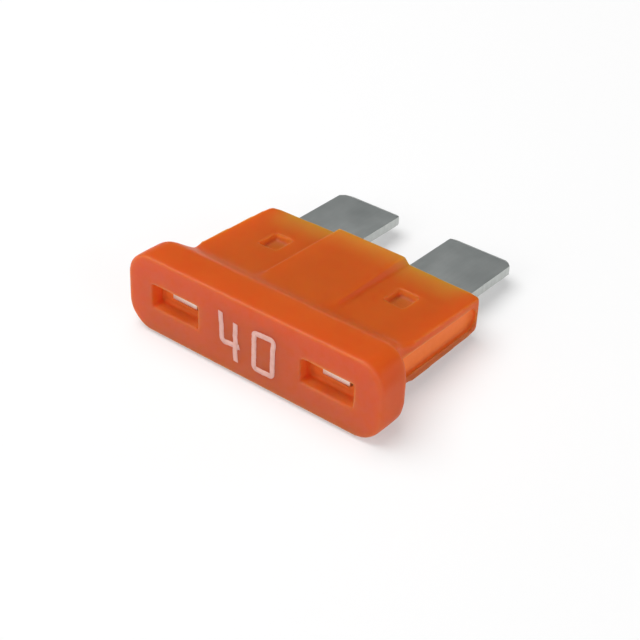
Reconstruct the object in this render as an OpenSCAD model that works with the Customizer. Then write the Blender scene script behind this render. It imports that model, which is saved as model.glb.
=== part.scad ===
// Plug-in blade fuse: a moulded housing staked on to a stamped strip with two flat blades.
// It lies on a broad face: +X along the head, +Y from the head's face to the blade tips, +Z up.
// Millimetres, real size. The origin is under the middle of the part, on the plane it lies on.

/* [Overall] */
// Head face to blade tips
total_length = 18.5; // [17:0.1:20]
// Head face to the far end of the body
body_length = 12.2; // [11:0.1:13]
// Width of the body behind the head
body_width = 17.0; // [16:0.1:18]

/* [Head] */
// Width across the two ears
head_width = 19.9; // [18.8:0.1:21]
// Thickness of the head
head_thick = 5.3; // [4.8:0.1:6]
// Face to the crease where the broad faces begin to fall
crease_depth = 2.5; // [2.2:0.05:3]
// Face to the back of the ears
ear_depth = 2.75; // [2.5:0.05:3.2]
// Corner radius of the head seen from its face
head_corner = 1.7; // [0.6:0.05:1.8]
// Radius of the upright edges at the back of the ears
ear_round = 0.6; // [0.3:0.05:0.8]
// Radius of the hollow between ear and body
neck_round = 0.7; // [0.2:0.05:0.8]

/* [Body] */
// Thickness over the centre panels
centre_thick = 3.6; // [3.3:0.02:4.2]
// Width of a centre panel at the foot of its ramp
centre_wide = 5.5; // [5:0.1:6.4]
// Width of a centre panel at the far end
centre_narrow = 5.2; // [4.6:0.1:5.8]
// Sideways run of the wall beside a centre panel
centre_wall_run = 0.4; // [0.2:0.05:0.7]
// Slope from the crease down to the panels, in degrees
ramp_slope = 33; // [24:1:45]
// Thickness over the side panels, carried on to the crease
side_near = 3.26; // [3:0.02:3.5]
// Thickness over the side panels at the far end, beside the centre panel
side_far = 2.62; // [2.4:0.02:3.2]
// Fall of a side panel from the centre panel to the long edge, at the far end
side_fall = 0.11; // [0.05:0.01:0.3]
// Radius of the two upright edges at the far end
far_round = 0.35; // [0.2:0.05:1]
// Bevel along the far end of the centre panels
far_bevel = 0.15; // [0.05:0.05:0.3]

/* [Side pockets] */
// Wall left between a pocket and the blade
pocket_skin = 0.6; // [0.3:0.05:0.9]
// Height of a pocket, and the diameter of its round far end
pocket_height = 1.55; // [0.9:0.05:1.7]
// Wall left between a pocket and the far end
pocket_wall = 0.4; // [0.3:0.05:1.2]

/* [Stake pits] */
// Middle of a pit outward from the middle of its blade
pit_offset = 0.45; // [0:0.05:0.9]
// Face to the middle of a pit
pit_y = 8.5; // [7.4:0.1:9]
// Width of a pit
pit_width = 1.5; // [1:0.05:1.8]
// Length of a pit
pit_length = 1.75; // [1.4:0.05:2.4]
// Wall left between a pit and the blade
pit_skin = 0.15; // [0.1:0.05:0.6]
// Diameter of the stake that fills the hole in a blade
stake_diameter = 1.3; // [0.9:0.05:1.6]

/* [Test slots] */
// Middle of a test slot from the middle of the part
slot_x = 6.0; // [5.5:0.05:6.2]
// Width of a test slot
slot_width = 3.92; // [3.4:0.02:4.2]
// Height of a test slot
slot_height = 1.7; // [1.3:0.01:2]
// Depth of a test slot
slot_depth = 1.1; // [0.9:0.1:2.4]

/* [Blades] */
// Distance over the outer edges of the blades
blade_span = 14.15; // [13.8:0.05:14.8]
// Width of a blade
blade_width = 4.95; // [4.8:0.05:5.4]
// Thickness of the strip
strip_thick = 0.65; // [0.5:0.05:0.8]
// Face to the shoulders of the strip inside the housing
shoulder_y = 3.4; // [3.1:0.1:4]
// Radius of the inner corner of a blade tip
tip_round = 0.5; // [0.2:0.05:0.8]
// Leg of the chamfer at the outer corner of a blade tip
tip_chamfer = 0.7; // [0.3:0.05:1]
// Length of the bevels that thin the blade tip
tip_bevel_length = 0.4; // [0.2:0.05:0.8]
// Depth of each of those bevels
tip_bevel_depth = 0.17; // [0.1:0.01:0.25]
// Width of the narrow test tips
test_tip_width = 2.0; // [1.6:0.05:2.1]
// Face to the end of the test tips
test_tip_recess = 0.95; // [0.5:0.05:1.05]

/* [Fuse link] */
// Face to the middle of the link's bow
link_y = 7.4; // [6.8:0.1:8.2]
// Radius of the bow along its middle
link_radius = 1.5; // [1.2:0.05:1.6]
// Width of the link
link_width = 0.9; // [0.6:0.05:1.2]
// Thickness of the link
link_thick = 0.35; // [0.2:0.05:0.6]
// Wall left between the hollow around the link and a centre panel
hollow_skin = 0.8; // [0.6:0.05:1]
// Face to the closed end of the hollow
hollow_y = 4.2; // [3.6:0.1:4.8]

/* [Fits] */
// Clearance around the strip inside the housing
strip_fit = 0.05; // [0.03:0.01:0.12]
// Clearance between a stake and its hole
stake_fit = 0.04; // [0.02:0.01:0.1]
// Room beside the link in its hollow
link_room = 0.15; // [0.1:0.05:0.3]

/* [Hidden] */
$fn = 64;
lap = 0.5;
reach = 60;
head_half = head_thick / 2;
body_half = body_width / 2;
centre_half = centre_thick / 2;
blade_in = blade_span / 2 - blade_width;
blade_out = blade_span / 2;
blade_mid = blade_span / 2 - blade_width / 2;
hollow_half = max(blade_in, link_radius + link_width / 2 + link_room);
hollow_height = centre_thick - 2 * hollow_skin;
strip_room = strip_thick + 2 * strip_fit;
pocket_floor = blade_out + strip_fit + pocket_skin;
pit_x = blade_mid + pit_offset;
pit_floor = strip_room / 2 + pit_skin;
stake_half = strip_room / 2 + pit_skin / 2;
neck = max(0.05, min(neck_round, (head_width - body_width) / 2 - ear_round));
far_foot = centre_narrow / 2 + centre_wall_run;
ramp_foot = crease_depth + (head_half - centre_half) / tan(ramp_slope);
// slopes of the side panel across and along the part
side_across = -side_fall / (body_half - far_foot);
side_along = (side_far - side_near) / 2 / (body_length - crease_depth);
// slopes of the wall beside the centre panel
wall_across = (side_far - centre_thick) / 2 / centre_wall_run;
wall_along = wall_across * (centre_wide - centre_narrow) / 2 / (body_length - ramp_foot);

// Everything above a sloped plane through a point, with its rise per millimetre along X and Y.
module above(point, across, along) {
    turn = atan(-across);
    translate(point)
        rotate([atan(along * cos(turn)), turn, 0])
            translate([-reach, -reach, 0])
                cube([2 * reach, 2 * reach, reach]);
}

// Copies on both sides of the middle, left and right.
module both_sides() {
    children();
    mirror([1, 0, 0])
        children();
}

// Copies on both broad faces.
module both_faces() {
    children();
    mirror([0, 0, 1])
        children();
}

// Rectangle from y0 to y1 with its two back corners rounded.
module round_bar(width, y0, y1, radius) {
    translate([-width / 2, y0])
        square([width, y1 - radius - y0]);
    translate([-width / 2 + radius, y0])
        square([width - 2 * radius, y1 - y0]);
    both_sides()
        translate([width / 2 - radius, y1 - radius])
            circle(r = radius);
}

// Outline of the housing seen on its broad face.
module plan_outline() {
    round_bar(head_width, 0, ear_depth, ear_round);
    round_bar(body_width, ear_depth / 2, body_length, far_round);
    both_sides()
        difference() {
            translate([body_half - lap, ear_depth - lap])
                square([neck + lap, neck + lap]);
            translate([body_half + neck, ear_depth + neck])
                circle(r = neck);
        }
}

// Outline of the head seen on its face.
module face_outline() {
    round_bar(head_width, -lap, head_half, head_corner);
    mirror([0, 1])
        round_bar(head_width, -lap, head_half, head_corner);
}

// Outline of the housing seen from its narrow side, through the centre panels.
module side_outline() {
    polygon([
        [0, head_half],
        [crease_depth, head_half],
        [ramp_foot, centre_half],
        [body_length - far_bevel, centre_half],
        [body_length, centre_half - far_bevel],
        [body_length, far_bevel - centre_half],
        [body_length - far_bevel, -centre_half],
        [ramp_foot, -centre_half],
        [crease_depth, -head_half],
        [0, -head_half]
    ]);
}

// Outside of the housing before its faces are cut: the three outlines in one block.
module housing_block() {
    intersection() {
        translate([0, 0, -head_thick])
            linear_extrude(2 * head_thick)
                plan_outline();
        translate([0, body_length + lap, 0])
            rotate([90, 0, 0])
                linear_extrude(body_length + 2 * lap)
                    face_outline();
        translate([-head_width, 0, 0])
            rotate([90, 0, 90])
                linear_extrude(2 * head_width)
                    side_outline();
    }
}

// What is cut away over one side panel, down to its slope, the centre panel's wall and the ramp.
module side_panel_cut() {
    intersection() {
        above([0, crease_depth, head_half], 0, -tan(ramp_slope));
        above([centre_narrow / 2, body_length, centre_half], wall_across, wall_along);
        above([far_foot, body_length, side_far / 2], side_across, side_along);
    }
}

// Pit pressed in a side panel over a stake.
module stake_pit() {
    translate([pit_x - pit_width / 2, pit_y - pit_length / 2, pit_floor])
        cube([pit_width, pit_length, head_thick]);
}

// Pocket in the narrow side, with a round far end.
module side_pocket() {
    end_y = body_length - pocket_wall - pocket_height / 2;
    translate([pocket_floor, 0, 0])
        rotate([90, 0, 90])
            linear_extrude(head_width) {
                translate([ear_depth + neck / 2, -pocket_height / 2])
                    square([end_y - ear_depth - neck / 2, pocket_height]);
                translate([end_y, 0])
                    circle(d = pocket_height);
            }
}

// Room for one blade, its test tip and the slot in the head's face.
module blade_room() {
    translate([blade_in - strip_fit, shoulder_y - strip_fit, -strip_room / 2])
        cube([blade_width + 2 * strip_fit, body_length, strip_room]);
    translate([slot_x - test_tip_width / 2 - strip_fit, slot_depth - lap, -strip_room / 2])
        cube([test_tip_width + 2 * strip_fit, shoulder_y - slot_depth + 2 * lap, strip_room]);
    translate([slot_x - slot_width / 2, -lap, -slot_height / 2])
        cube([slot_width, slot_depth + lap, slot_height]);
}

// Hollow around the fuse link, open at the far end.
module link_hollow() {
    translate([-hollow_half, hollow_y, -hollow_height / 2])
        cube([2 * hollow_half, body_length, hollow_height]);
}

// Moulded housing with its stakes through the blades.
module housing() {
    color("#E06A1E")
        translate([0, -total_length / 2, head_half]) {
            difference() {
                housing_block();
                both_sides() {
                    both_faces() {
                        side_panel_cut();
                        stake_pit();
                    }
                    side_pocket();
                    blade_room();
                }
                link_hollow();
            }
            both_sides()
                translate([pit_x, pit_y, -stake_half])
                    cylinder(d = stake_diameter, h = 2 * stake_half);
        }
}

// Outline of one blade with its test tip.
module blade_outline() {
    difference() {
        union() {
            translate([blade_in, shoulder_y])
                square([blade_width, total_length - shoulder_y]);
            translate([slot_x - test_tip_width / 2, test_tip_recess])
                square([test_tip_width, shoulder_y - test_tip_recess + lap]);
        }
        translate([blade_in, total_length])
            difference() {
                square(2 * tip_round, center = true);
                translate([tip_round, -tip_round])
                    circle(r = tip_round);
            }
        translate([blade_out, total_length])
            rotate(45)
                square(tip_chamfer * sqrt(2), center = true);
        translate([pit_x, pit_y])
            circle(d = stake_diameter + 2 * stake_fit);
    }
}

// What thins one face of the blade tips.
module tip_bevel() {
    translate([0, total_length, strip_thick / 2 - tip_bevel_depth])
        rotate([-atan(tip_bevel_depth / tip_bevel_length), 0, 0])
            translate([-head_width, -2 * tip_bevel_length, 0])
                cube([2 * head_width, 4 * tip_bevel_length, strip_thick]);
}

// Bowed link between the blades.
module link_outline() {
    difference() {
        circle(r = link_radius + link_width / 2);
        circle(r = link_radius - link_width / 2);
        translate([-reach, 0])
            square([2 * reach, reach]);
    }
    both_sides() {
        translate([link_radius - link_width / 2, -lap / 10])
            square([link_width, link_radius]);
        translate([link_radius - link_width / 2, link_radius - link_width])
            square([blade_in - link_radius + link_width / 2 + lap, link_width]);
    }
}

// Stamped strip: two blades, two test tips and the link.
module fuse_element() {
    color("#8C9294")
        translate([0, -total_length / 2, head_half]) {
            difference() {
                both_sides()
                    translate([0, 0, -strip_thick / 2])
                        linear_extrude(strip_thick)
                            blade_outline();
                both_faces()
                    tip_bevel();
            }
            translate([0, link_y, -link_thick / 2])
                linear_extrude(link_thick)
                    link_outline();
        }
}

housing();
fuse_element();
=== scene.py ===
"""Looks of a plug-in blade fuse that lies on its broad face: housing, strip, number, card and light."""
import math

import bmesh
import bpy
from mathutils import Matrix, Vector


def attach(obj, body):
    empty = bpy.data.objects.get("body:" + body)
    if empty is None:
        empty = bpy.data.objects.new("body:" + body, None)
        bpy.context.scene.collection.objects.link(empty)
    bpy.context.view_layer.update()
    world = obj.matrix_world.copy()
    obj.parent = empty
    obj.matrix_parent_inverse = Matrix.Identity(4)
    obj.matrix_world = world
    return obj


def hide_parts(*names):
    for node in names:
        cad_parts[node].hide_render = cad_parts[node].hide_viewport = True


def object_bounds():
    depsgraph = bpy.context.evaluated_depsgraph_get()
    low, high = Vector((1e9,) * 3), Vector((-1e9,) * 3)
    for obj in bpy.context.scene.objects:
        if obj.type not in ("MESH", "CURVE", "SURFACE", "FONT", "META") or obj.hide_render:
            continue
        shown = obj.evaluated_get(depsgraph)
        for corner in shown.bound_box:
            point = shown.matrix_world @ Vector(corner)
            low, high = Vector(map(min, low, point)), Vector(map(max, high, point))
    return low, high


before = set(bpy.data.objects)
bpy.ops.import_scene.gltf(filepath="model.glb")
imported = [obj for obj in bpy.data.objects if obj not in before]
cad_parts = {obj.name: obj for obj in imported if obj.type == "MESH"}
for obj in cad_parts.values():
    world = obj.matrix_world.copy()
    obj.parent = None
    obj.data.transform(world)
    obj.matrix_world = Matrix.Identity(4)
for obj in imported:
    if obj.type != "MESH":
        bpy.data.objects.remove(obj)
cad_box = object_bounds()

MM = 0.001
HEAD_FACE_Y = cad_box[0][1]                     # plane of the head's face
MID_Z = (cad_box[0][2] + cad_box[1][2]) / 2     # middle plane of the part
CREASE_Y = HEAD_FACE_Y + 2.5 * MM               # line where the broad faces begin to fall away from the head

# Housing, in mm. A zone gives the ranges of the three distances that local() returns.
SKIN_MESH = 0.08                                # mesh width of the even skin
POCKET_FLOORS = ((7.6, 7.9), (2.9, 12.0), (0.0, 0.9))
POCKET_FILL = 0.45                              # the pockets are this much shallower than in the CAD model
PIT_FLOORS = ((4.0, 6.2), (7.4, 9.6), (0.45, 0.7))
PIT_FILL = 0.35                                 # and the stake pits this much
# walls in the paler thin-wall nylon, whose paler colour is painted light in these shaded places
THIN_WALLS_PAINTED_LIGHT = (
    ((7.5, 8.4), (3.0, 12.0), (0.0, 0.85)),     # floors of the side pockets
    ((4.0, 8.0), (0.9, 1.3), (0.0, 0.9)),       # backs of the test slots
)

# Strip, in mm
EDGE_ROUND = 0.04                               # broken edges
TIP_ROUND = 0.13                                # rounder edges at the ends of the test tips
TIP_ENDS = ((5.1, 6.9), (0.0, 1.0), (0.0, 1.0))
TIP_REACH = 1.2                                 # the test tips are all that lies this near to the head's face
SHARP_TURN = math.radians(20)                   # edges that turn more than this are broken
SMOOTH_TURN = math.radians(32)                  # faces that turn less than this are shaded as one

# Card
CARD_SLOPE = 0.089                              # its rise per length, from the crease to the blade end
CARD_HALF = 0.6                                 # half its width, m


def linear(code):
    """sRGB hex colour as linear RGBA."""
    parts = [int(code[i:i + 2], 16) / 255 for i in (1, 3, 5)]
    return [c / 12.92 if c <= 0.04045 else ((c + 0.055) / 1.055) ** 2.4 for c in parts] + [1.0]


def cells(size):
    """Scale of a noise whose spots are about this many mm across."""
    return 1.0 / (size * MM)


def add(tree, kind, settings=None, **links):
    """Adds a node. Settings name its properties or inputs, links name inputs and the sockets they take."""
    node = tree.nodes.new(kind)
    for name, value in (settings or {}).items():
        if isinstance(name, str) and hasattr(node, name):
            setattr(node, name, value)
        else:
            node.inputs[name].default_value = value
    for name, socket in links.items():
        key = int(name[1:]) if name[1:].isdigit() else name.replace("_", " ")
        tree.links.new(socket, node.inputs[key])
    return node


def new_material(name):
    """Empty node material with its output node."""
    material = bpy.data.materials.new(name)
    material.use_nodes = True
    material.node_tree.nodes.clear()
    return material, material.node_tree, add(material.node_tree, "ShaderNodeOutputMaterial")


def moulded_orange_nylon():
    """Injection-moulded translucent nylon: light enters and comes out again; the glow of its thin far end,
    its edges and its recesses is painted into its colour.
    """
    material, tree, out = new_material("moulded_orange_nylon")
    place = add(tree, "ShaderNodeTexCoord").outputs["Object"]
    along = add(tree, "ShaderNodeSeparateXYZ", None, Vector=place)
    # cloudy pigment, about 3 mm across
    cloud = add(tree, "ShaderNodeTexNoise", {"Scale": cells(3.03), "Detail": 3.0, "Roughness": 0.55},
                Vector=place)
    colour = add(tree, "ShaderNodeMix", {"data_type": "RGBA", 6: linear("#D65816"), 7: linear("#E06720")},
                 _0=cloud.outputs["Fac"])
    # painted glow: the thin far end is painted paler and yellower over its last 3 mm, for the light that
    # comes through it from behind
    end = add(tree, "ShaderNodeMapRange",
              {"interpolation_type": "SMOOTHSTEP",
               "From Min": 0.2 * MM, "From Max": 3.4 * MM, "To Max": 0.75},
              Value=along.outputs["Y"])
    # but not at its sides
    side = add(tree, "ShaderNodeMath", {"operation": "ABSOLUTE"}, _0=along.outputs["X"])
    inner = add(tree, "ShaderNodeMapRange",
                {"interpolation_type": "SMOOTHSTEP", "From Min": 8.3 * MM, "From Max": 6.3 * MM},
                Value=side.outputs["Value"])
    end = add(tree, "ShaderNodeMath", {"operation": "MULTIPLY"},
              _0=end.outputs["Result"], _1=inner.outputs["Result"])
    colour = add(tree, "ShaderNodeMix", {"data_type": "RGBA", 7: linear("#E09A38")},
                 _0=end.outputs["Value"], _6=colour.outputs[2])
    # the head's face is frosted, in spots of about 0.7 mm, and is painted paler and pinker as a painted sheen
    # of the white light it reflects
    face = add(tree, "ShaderNodeMapRange", {"From Min": -8.9 * MM, "From Max": -9.15 * MM},
               Value=along.outputs["Y"])
    frost_and_sheen = add(tree, "ShaderNodeTexNoise", {"Scale": cells(0.667), "Detail": 4.0, "Roughness": 0.65},
                Vector=place)
    frost_and_sheen = add(tree, "ShaderNodeMapRange",
                {"From Min": 0.3, "From Max": 0.7, "To Min": 0.45, "To Max": 1.3, "clamp": False},
                Value=frost_and_sheen.outputs["Fac"])
    face = add(tree, "ShaderNodeMath", {"operation": "MULTIPLY"},
               _0=face.outputs["Result"], _1=frost_and_sheen.outputs["Result"])
    colour = add(tree, "ShaderNodeMix", {"data_type": "RGBA", 7: linear("#DC6740")},
                 _0=face.outputs["Value"], _6=colour.outputs[2])
    # painted light: recesses are painted a clearer, paler orange, for the light that comes through the
    # plastic into them
    nook = add(tree, "ShaderNodeAmbientOcclusion", {"samples": 8, "only_local": True, "Distance": 1.8 * MM})
    depth = add(tree, "ShaderNodeMapRange", {"From Min": 0.78, "From Max": 0.42}, Value=nook.outputs["AO"])
    colour = add(tree, "ShaderNodeMix", {"data_type": "RGBA", 7: linear("#FF8C48")},
                 _0=depth.outputs["Result"], _6=colour.outputs[2])
    # painted highlight: rounded edges are painted paler, for the light that gathers at them
    rim = add(tree, "ShaderNodeAmbientOcclusion",
              {"samples": 8, "inside": True, "only_local": True, "Distance": 0.25 * MM})
    edge = add(tree, "ShaderNodeMapRange", {"From Min": 0.85, "From Max": 0.5, "To Max": 0.5},
               Value=rim.outputs["AO"])
    colour = add(tree, "ShaderNodeMix", {"data_type": "RGBA", 7: linear("#F39A68")},
                 _0=edge.outputs["Result"], _6=colour.outputs[2])
    # spark-eroded mould skin, about 0.2 mm grain
    skin = add(tree, "ShaderNodeTexNoise", {"Scale": cells(0.2), "Detail": 2.0, "Roughness": 0.5},
               Vector=place)
    rough = add(tree, "ShaderNodeMapRange", {"To Min": 0.34, "To Max": 0.46}, Value=skin.outputs["Fac"])
    bump = add(tree, "ShaderNodeBump", {"Strength": 0.06, "Distance": 0.02 * MM}, Height=skin.outputs["Fac"])
    shader = add(tree, "ShaderNodeBsdfPrincipled",
                 {"IOR": 1.53, "Subsurface Weight": 0.9, "Subsurface Radius": (1.0, 0.45, 0.12),
                  "Subsurface Scale": 4.0 * MM, "Specular IOR Level": 0.2},
                 Base_Color=colour.outputs[2], Roughness=rough.outputs["Result"],
                 Normal=bump.outputs["Normal"])
    # light that goes right through thin walls
    through = add(tree, "ShaderNodeBsdfTranslucent", {"Color": linear("#F08A2C")},
                  Normal=bump.outputs["Normal"])
    mix = add(tree, "ShaderNodeMixShader", {0: 0.2}, _1=shader.outputs["BSDF"], _2=through.outputs["BSDF"])
    tree.links.new(mix.outputs["Shader"], out.inputs["Surface"])
    return material


def thin_nylon_painted_light():
    """Moulded nylon in the thin walls over the strip: light can't wander in it, so its colour is even; it is
    a paler orange, painted light for the shaded pocket floors and slot backs.
    """
    material, tree, out = new_material("thin_nylon_painted_light")
    place = add(tree, "ShaderNodeTexCoord").outputs["Object"]
    # flow marks, about 0.5 mm across
    flow = add(tree, "ShaderNodeTexNoise", {"Scale": cells(0.455), "Detail": 3.0, "Roughness": 0.6},
               Vector=place)
    # paler orange than the rest of the housing: painted light in these shaded walls
    colour = add(tree, "ShaderNodeMix", {"data_type": "RGBA", 6: linear("#F6782E"), 7: linear("#FF863E")},
                 _0=flow.outputs["Fac"])
    bump = add(tree, "ShaderNodeBump", {"Strength": 0.2, "Distance": 0.03 * MM}, Height=flow.outputs["Fac"])
    shader = add(tree, "ShaderNodeBsdfPrincipled", {"IOR": 1.53, "Roughness": 0.5, "Specular IOR Level": 0.2},
                 Base_Color=colour.outputs[2], Normal=bump.outputs["Normal"])
    tree.links.new(shader.outputs["BSDF"], out.inputs["Surface"])
    return material


def rolled_zinc():
    """Rolled zinc alloy, gone dull in air: mid grey, with fine rolling lines along the blades."""
    material, tree, out = new_material("rolled_zinc")
    place = add(tree, "ShaderNodeTexCoord").outputs["Object"]
    # rolling lines about 0.15 mm apart, drawn long by squeezing Y
    stretch = add(tree, "ShaderNodeMapping", {"Scale": (1.0, 0.06, 1.0)}, Vector=place)
    lines = add(tree, "ShaderNodeTexNoise", {"Scale": cells(0.154), "Detail": 3.0, "Roughness": 0.6},
                Vector=stretch.outputs["Vector"])
    # soft tarnish, about 2 mm across
    tarnish = add(tree, "ShaderNodeTexNoise", {"Scale": cells(2.08), "Detail": 4.0, "Roughness": 0.6},
                  Vector=place)
    both = add(tree, "ShaderNodeMath", {"operation": "MULTIPLY_ADD", 1: 0.35},
               _0=lines.outputs["Fac"], _2=tarnish.outputs["Fac"])
    fade = add(tree, "ShaderNodeMapRange", {"From Min": 0.45, "From Max": 0.95}, Value=both.outputs["Value"])
    colour = add(tree, "ShaderNodeMix", {"data_type": "RGBA", 6: linear("#A8ADAC"), 7: linear("#B5B9B8")},
                 _0=fade.outputs["Result"])
    rough = add(tree, "ShaderNodeMapRange", {"To Min": 0.5, "To Max": 0.62}, Value=tarnish.outputs["Fac"])
    bump = add(tree, "ShaderNodeBump", {"Strength": 0.12, "Distance": 0.01 * MM}, Height=lines.outputs["Fac"])
    shader = add(tree, "ShaderNodeBsdfPrincipled", {"Metallic": 1.0},
                 Base_Color=colour.outputs[2], Roughness=rough.outputs["Result"],
                 Normal=bump.outputs["Normal"])
    tree.links.new(shader.outputs["BSDF"], out.inputs["Surface"])
    return material


def sheared_zinc(name, deep, pale):
    """Sheared zinc alloy on the strip's rim: paler than the rolled faces, with upright tear marks."""
    material, tree, out = new_material(name)
    place = add(tree, "ShaderNodeTexCoord").outputs["Object"]
    # tear marks about 0.2 mm apart, drawn tall by squeezing Z
    stretch = add(tree, "ShaderNodeMapping", {"Scale": (1.0, 1.0, 0.12)}, Vector=place)
    tears = add(tree, "ShaderNodeTexNoise", {"Scale": cells(0.2), "Detail": 3.0, "Roughness": 0.6},
                Vector=stretch.outputs["Vector"])
    colour = add(tree, "ShaderNodeMix", {"data_type": "RGBA", 6: linear(deep), 7: linear(pale)},
                 _0=tears.outputs["Fac"])
    bump = add(tree, "ShaderNodeBump", {"Strength": 0.2, "Distance": 0.01 * MM}, Height=tears.outputs["Fac"])
    shader = add(tree, "ShaderNodeBsdfPrincipled", {"Metallic": 1.0, "Roughness": 0.42},
                 Base_Color=colour.outputs[2], Normal=bump.outputs["Normal"])
    tree.links.new(shader.outputs["BSDF"], out.inputs["Surface"])
    return material


def stamped_white_ink():
    """Hot-stamped white ink: a thin matt film, a little uneven, with the orange showing faintly."""
    material, tree, out = new_material("stamped_white_ink")
    place = add(tree, "ShaderNodeTexCoord").outputs["Object"]
    # thin patches, about 0.4 mm across
    patch = add(tree, "ShaderNodeTexNoise", {"Scale": cells(0.385), "Detail": 3.0, "Roughness": 0.6},
                Vector=place)
    thin = add(tree, "ShaderNodeMapRange", {"From Min": 0.35, "From Max": 0.75}, Value=patch.outputs["Fac"])
    colour = add(tree, "ShaderNodeMix", {"data_type": "RGBA", 6: linear("#EBBAAF"), 7: linear("#E0A797")},
                 _0=thin.outputs["Result"])
    shader = add(tree, "ShaderNodeBsdfPrincipled", {"Roughness": 0.6, "IOR": 1.5},
                 Base_Color=colour.outputs[2])
    tree.links.new(shader.outputs["BSDF"], out.inputs["Surface"])
    return material


def white_card():
    """Matt white card: it keeps the part's shadow, and is plain white away from it."""
    material, tree, out = new_material("white_card")
    # only what the camera and reflections see is lifted to white, not the light that the card gives back
    path = add(tree, "ShaderNodeLightPath")
    seen = add(tree, "ShaderNodeMath", {"operation": "MAXIMUM"},
               _0=path.outputs["Is Camera Ray"], _1=path.outputs["Is Glossy Ray"])
    seen = add(tree, "ShaderNodeMath", {"operation": "MAXIMUM"},
               _0=seen.outputs["Value"], _1=path.outputs["Is Transmission Ray"])
    # the shadow shows near the part, and the card fades to plain white away from it
    place = add(tree, "ShaderNodeTexCoord").outputs["Object"]
    far = add(tree, "ShaderNodeVectorMath", {"operation": "LENGTH"}, _0=place)
    white = add(tree, "ShaderNodeMapRange",
                {"From Min": 30.0 * MM, "From Max": 120.0 * MM, "To Min": 0.4, "To Max": 1.0},
                Value=far.outputs["Value"])
    share = add(tree, "ShaderNodeMath", {"operation": "MULTIPLY"},
                _0=seen.outputs["Value"], _1=white.outputs["Result"])
    card = add(tree, "ShaderNodeBsdfDiffuse", {"Color": linear("#FAFAFA")})
    glow = add(tree, "ShaderNodeEmission", {"Color": linear("#FFFFFF"), "Strength": 1.0})
    mix = add(tree, "ShaderNodeMixShader", None,
              _0=share.outputs["Value"], _1=card.outputs["BSDF"], _2=glow.outputs["Emission"])
    tree.links.new(mix.outputs["Shader"], out.inputs["Surface"])
    return material


def put(name, data):
    """New object in the scene, at the origin."""
    thing = bpy.data.objects.new(name, data)
    bpy.context.scene.collection.objects.link(thing)
    return thing


def merged_copy(node):
    """Editable copy of a CAD node's mesh, with its loose triangles joined."""
    form = bmesh.new()
    form.from_mesh(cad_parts[node].data)
    bmesh.ops.remove_doubles(form, verts=form.verts, dist=0.0005 * MM)
    return form


def put_form(name, form):
    """New piece made of an edited copy, which is used up."""
    mesh = bpy.data.meshes.new(name)
    form.to_mesh(mesh)
    form.free()
    return put(name, mesh)


def finished_mesh(piece):
    """Plain mesh of a piece, as its modifiers leave it."""
    bpy.context.view_layer.update()
    deps = bpy.context.evaluated_depsgraph_get()
    return bpy.data.meshes.new_from_object(piece.evaluated_get(deps), preserve_all_data_layers=True,
                                           depsgraph=deps)


def settle(piece):
    """Puts a piece's plain mesh in place of its modifiers."""
    done = finished_mesh(piece)
    piece.modifiers.clear()
    piece.data = done


def local(point):
    """A point's distances in mm: to one side of the middle, behind the head's face, off the middle plane."""
    return abs(point.x) / MM, (point.y - HEAD_FACE_Y) / MM, abs(point.z - MID_Z) / MM


def inside(place, zone):
    """Whether three distances lie in a zone."""
    return all(low <= value < high for value, (low, high) in zip(place, zone))


def ramp(value, start, stop):
    """0 before start, 1 past stop and even in between; the way from start to stop may lead down."""
    return min(1.0, max(0.0, (value - start) / (stop - start)))


def softness(x, y, z):
    """How far the mould rounds an edge, from 0 for a crisp one to 1 for one that flows."""
    crease = ramp(y, 1.3, 1.9) * ramp(y, 5.2, 4.4) * ramp(z, 0.85, 1.15)
    ears = ramp(x, 8.3, 9.3) * ramp(y, 3.4, 2.9)
    far_corners = ramp(x, 7.7, 8.2) * ramp(y, 11.1, 11.7) * ramp(z, 0.8, 1.0)
    return max(crease, 0.25 * ears, 0.2 * far_corners)


def make_housing():
    """Moulded housing: the CAD shape in a fine even skin, relaxed so that every edge gets its mould round."""
    form = merged_copy("housing")
    for vertex in form.verts:
        place = local(vertex.co)
        if inside(place, POCKET_FLOORS):
            vertex.co.x += math.copysign(POCKET_FILL * MM, vertex.co.x)
        if inside(place, PIT_FLOORS):
            vertex.co.z += math.copysign(PIT_FILL * MM, vertex.co.z - MID_Z)
    piece = put_form("moulded_housing", form)
    skin = piece.modifiers.new("even_skin", "REMESH")
    skin.mode = "VOXEL"
    skin.voxel_size = SKIN_MESH * MM
    settle(piece)
    soft = piece.vertex_groups.new(name="soft")
    for vertex in piece.data.vertices:
        weight = softness(*local(vertex.co))
        if weight > 0:
            soft.add([vertex.index], weight, "REPLACE")
    # all edges are relaxed a little, and the soft ones many more times
    for name, group, times in (("all_edges", "", 5), ("flowing_edges", "soft", 160)):
        relax = piece.modifiers.new(name, "SMOOTH")
        relax.factor = 0.5
        relax.iterations = times
        relax.vertex_group = group
    fewer = piece.modifiers.new("fewer_faces", "DECIMATE")
    fewer.ratio = 0.4
    settle(piece)
    piece.data.shade_smooth()
    piece.data.materials.append(moulded_orange_nylon())
    piece.data.materials.append(thin_nylon_painted_light())
    # faces in these walls get the paler nylon: painted light in the shaded pockets and slot backs
    for face in piece.data.polygons:
        place = local(face.center)
        face.material_index = 1 if any(inside(place, zone) for zone in THIN_WALLS_PAINTED_LIGHT) else 0
    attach(piece, "root")
    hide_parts("housing")


def flat_groups(form):
    """Groups of triangles that lie in one plane."""
    left = set(form.faces)
    groups = []
    for seed in form.faces:
        if seed not in left:
            continue
        left.discard(seed)
        group = [seed]
        for face in group:
            for edge in face.edges:
                fresh = [other for other in edge.link_faces
                         if other in left and other.normal.dot(seed.normal) > 0.99999]
                left.difference_update(fresh)
                group.extend(fresh)
        groups.append(group)
    return groups


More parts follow.
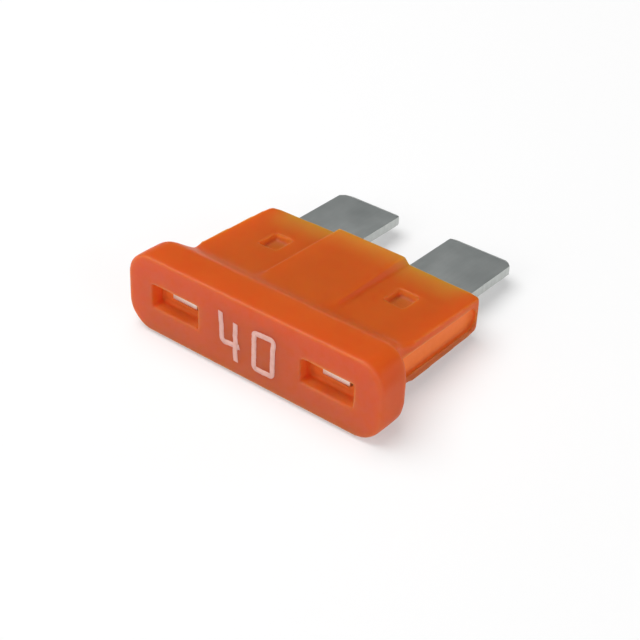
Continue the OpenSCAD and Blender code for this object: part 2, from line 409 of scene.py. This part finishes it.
def make_strip():
    """Stamped strip with broken edges: rolled faces on its broad sides, sheared metal on its rim."""
    form = merged_copy("fuse_element")
    # each flat without holes becomes one face, so that the rounds run evenly
    for group in flat_groups(form):
        corners = {corner for face in group for corner in face.verts}
        sides = {side for face in group for side in face.edges}
        if len(corners) - len(sides) + len(group) == 1:
            bmesh.ops.dissolve_faces(form, faces=group)
    weight = form.edges.layers.float.new("bevel_weight_edge")
    for edge in form.edges:
        if edge.calc_face_angle(0.0) > SHARP_TURN:
            middle = local((edge.verts[0].co + edge.verts[1].co) / 2)
            edge[weight] = 1.0 if inside(middle, TIP_ENDS) else EDGE_ROUND / TIP_ROUND
    piece = put_form("stamped_strip", form)
    bevel = piece.modifiers.new("edge_rounds", "BEVEL")
    bevel.width = TIP_ROUND * MM
    bevel.segments = 4
    bevel.limit_method = "WEIGHT"
    bevel.use_clamp_overlap = False
    bevel.miter_outer = "MITER_SHARP"
    settle(piece)
    piece.data.shade_smooth()
    piece.data.set_sharp_from_angle(angle=SMOOTH_TURN)
    piece.data.materials.append(rolled_zinc())
    piece.data.materials.append(sheared_zinc("sheared_zinc", "#A8ACA9", "#CACDCA"))
    # the test tips are painted brighter: a painted reflection of the white card in front of them, which the
    # slot walls block
    piece.data.materials.append(sheared_zinc("tip_zinc_painted_bright", "#E4E2DC", "#F8F6F2"))
    for face in piece.data.polygons:
        broad = abs(face.normal.z) > 0.75
        tip = local(face.center)[1] < TIP_REACH
        face.material_index = 2 if tip else 0 if broad else 1
    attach(piece, "root")
    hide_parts("fuse_element")


def ribbon_tree(ink):
    """Geometry nodes: every stroke becomes a flat, slightly uneven ribbon of ink with rounded bends."""
    tree = bpy.data.node_groups.new("ink_ribbons", "GeometryNodeTree")
    tree.interface.new_socket("Strokes", in_out="INPUT", socket_type="NodeSocketGeometry")
    for name in ("Ribbon Width", "Ink Thickness", "Bend Radius", "Unevenness"):
        tree.interface.new_socket(name, in_out="INPUT", socket_type="NodeSocketFloat")
    tree.interface.new_socket("Print", in_out="OUTPUT", socket_type="NodeSocketGeometry")
    given = add(tree, "NodeGroupInput")
    bends = add(tree, "GeometryNodeFilletCurve", {"mode": "POLY", "Count": 5},
                Curve=given.outputs["Strokes"], Radius=given.outputs["Bend Radius"])
    fine = add(tree, "GeometryNodeResampleCurve", {"mode": "LENGTH", "Length": 0.05 * MM},
               Curve=bends.outputs["Curve"])
    # the strokes wander along the face, in waves about 0.4 mm long
    place = add(tree, "GeometryNodeInputPosition")
    wander = add(tree, "ShaderNodeTexNoise", {"Scale": cells(0.417), "Detail": 2.0, "Roughness": 0.6},
                 Vector=place.outputs["Position"])
    shift = add(tree, "ShaderNodeVectorMath", {"operation": "SUBTRACT", 1: (0.5, 0.5, 0.5)},
                _0=wander.outputs["Color"])
    reach = add(tree, "ShaderNodeCombineXYZ", None,
                X=given.outputs["Unevenness"], Z=given.outputs["Unevenness"])
    shift = add(tree, "ShaderNodeVectorMath", {"operation": "MULTIPLY"},
                _0=shift.outputs["Vector"], _1=reach.outputs["Vector"])
    uneven = add(tree, "GeometryNodeSetPosition", None,
                 Geometry=fine.outputs["Curve"], Offset=shift.outputs["Vector"])
    upright = add(tree, "GeometryNodeSetCurveNormal", {"mode": "FREE", "Normal": (0.0, -1.0, 0.0)},
                  Curve=uneven.outputs["Geometry"])
    section = add(tree, "GeometryNodeCurvePrimitiveQuadrilateral", None,
                  Width=given.outputs["Ink Thickness"], Height=given.outputs["Ribbon Width"])
    ribbon = add(tree, "GeometryNodeCurveToMesh", {"Fill Caps": True},
                 Curve=upright.outputs["Curve"], Profile_Curve=section.outputs["Curve"])
    real = add(tree, "GeometryNodeRealizeInstances", None, Geometry=ribbon.outputs["Mesh"])
    painted = add(tree, "GeometryNodeSetMaterial", {"Material": ink}, Geometry=real.outputs["Geometry"])
    done = add(tree, "NodeGroupOutput")
    tree.links.new(painted.outputs["Geometry"], done.inputs["Print"])
    return tree


def make_number():
    """The rated current, stamped on the head's face."""
    strokes = bpy.data.curves.new("number_strokes", "CURVE")
    strokes.dimensions = "3D"
    # centre lines on the face, x and height over the middle plane in mm; True closes the stroke
    lines = [
        ([(-2.16, 1.38), (-2.03, -0.66), (-0.61, -0.56)], False),
        ([(-0.97, 1.02), (-0.95, -1.70)], False),
        ([(0.52, 1.04), (2.01, 1.09), (1.95, -1.49), (0.52, -1.51)], True),
    ]
    for layer, (points, closed) in enumerate(lines, start=1):
        # each stroke lies a hair over the one before, so that no two share a plane where they cross
        y = HEAD_FACE_Y - 0.002 * MM * layer
        spline = strokes.splines.new("POLY")
        spline.points.add(len(points) - 1)
        spline.use_cyclic_u = closed
        for point, (x, z) in zip(spline.points, points):
            point.co = (x * MM, y, MID_Z + z * MM, 1.0)
    path = put("number_strokes", strokes)
    tree = ribbon_tree(stamped_white_ink())
    maker = path.modifiers.new("ink_ribbons", "NODES")
    maker.node_group = tree
    sizes = {"Ribbon Width": 0.36, "Ink Thickness": 0.016, "Bend Radius": 0.22, "Unevenness": 0.16}
    for item in tree.interface.items_tree:
        if item.in_out == "INPUT" and item.name in sizes:
            maker[item.identifier] = sizes[item.name] * MM
    mesh = finished_mesh(path)
    bpy.data.objects.remove(path)
    piece = put("stamped_number", mesh)
    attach(piece, "root")


def make_card():
    """White card that leans, because the part lies on its crease and the far end of its centre panel."""
    lean = math.atan(CARD_SLOPE)
    along = Vector((0.0, math.cos(lean), math.sin(lean)))
    corners = [Vector((sx * CARD_HALF, CREASE_Y, 0.0)) + along * (sy * CARD_HALF)
               for sx, sy in ((-1, -1), (1, -1), (1, 1), (-1, 1))]
    mesh = bpy.data.meshes.new("studio_card")
    mesh.from_pydata(corners, [], [(0, 1, 2, 3)])
    mesh.materials.append(white_card())
    card = put("studio_card", mesh)


def make_lamps():
    """Square soft lamps: a large one overhead, and weaker ones in front, at the right and behind."""
    aim = Vector((0.0, -3.0 * MM, MID_Z))
    # name, direction from the part, distance and size in metres, watts
    lamps = [
        ("overhead_softbox", (-0.30, -0.16, 0.94), 0.34, 0.30, 1.16),
        ("front_fill", (-0.15, -0.92, 0.36), 0.40, 0.25, 0.40),
        ("right_fill", (0.94, -0.12, 0.27), 0.40, 0.25, 0.32),
        ("back_right_strip", (0.60, 0.78, 0.18), 0.36, 0.16, 0.20),
    ]
    for name, direction, distance, size, power in lamps:
        data = bpy.data.lights.new(name, "AREA")
        data.size = size
        data.energy = power
        lamp = put(name, data)
        lamp.location = aim + Vector(direction).normalized() * distance
        lamp.rotation_euler = Vector(direction).to_track_quat("Z", "Y").to_euler()


def make_room():
    """Room around the card: a dim even light on the part, and white to the camera."""
    world = bpy.data.worlds.new("pale_room")
    world.use_nodes = True
    tree = world.node_tree
    tree.nodes.clear()
    path = add(tree, "ShaderNodeLightPath")
    level = add(tree, "ShaderNodeMapRange", {"To Min": 0.12, "To Max": 1.0},
                Value=path.outputs["Is Camera Ray"])
    room = add(tree, "ShaderNodeBackground", {"Color": linear("#FFFFFF")}, Strength=level.outputs["Result"])
    tree.links.new(room.outputs["Background"], add(tree, "ShaderNodeOutputWorld").inputs["Surface"])
    bpy.context.scene.world = world


def make_camera():
    """The photograph's viewpoint: a long lens from the front right, looking down."""
    data = bpy.data.cameras.new("viewpoint")
    data.sensor_width = 36.0
    data.lens = 81.566
    data.clip_start = 0.005
    data.clip_end = 10.0
    camera = put("viewpoint", data)
    camera.location = Vector((46.56, -63.169, 51.643)) * MM
    camera.rotation_euler = [math.radians(turn) for turn in (56.482, -2.261, 38.887)]
    bpy.context.scene.camera = camera


make_housing()
make_strip()
make_number()
make_card()
make_lamps()
make_room()
make_camera()
bpy.context.scene.view_settings.view_transform = "Standard"
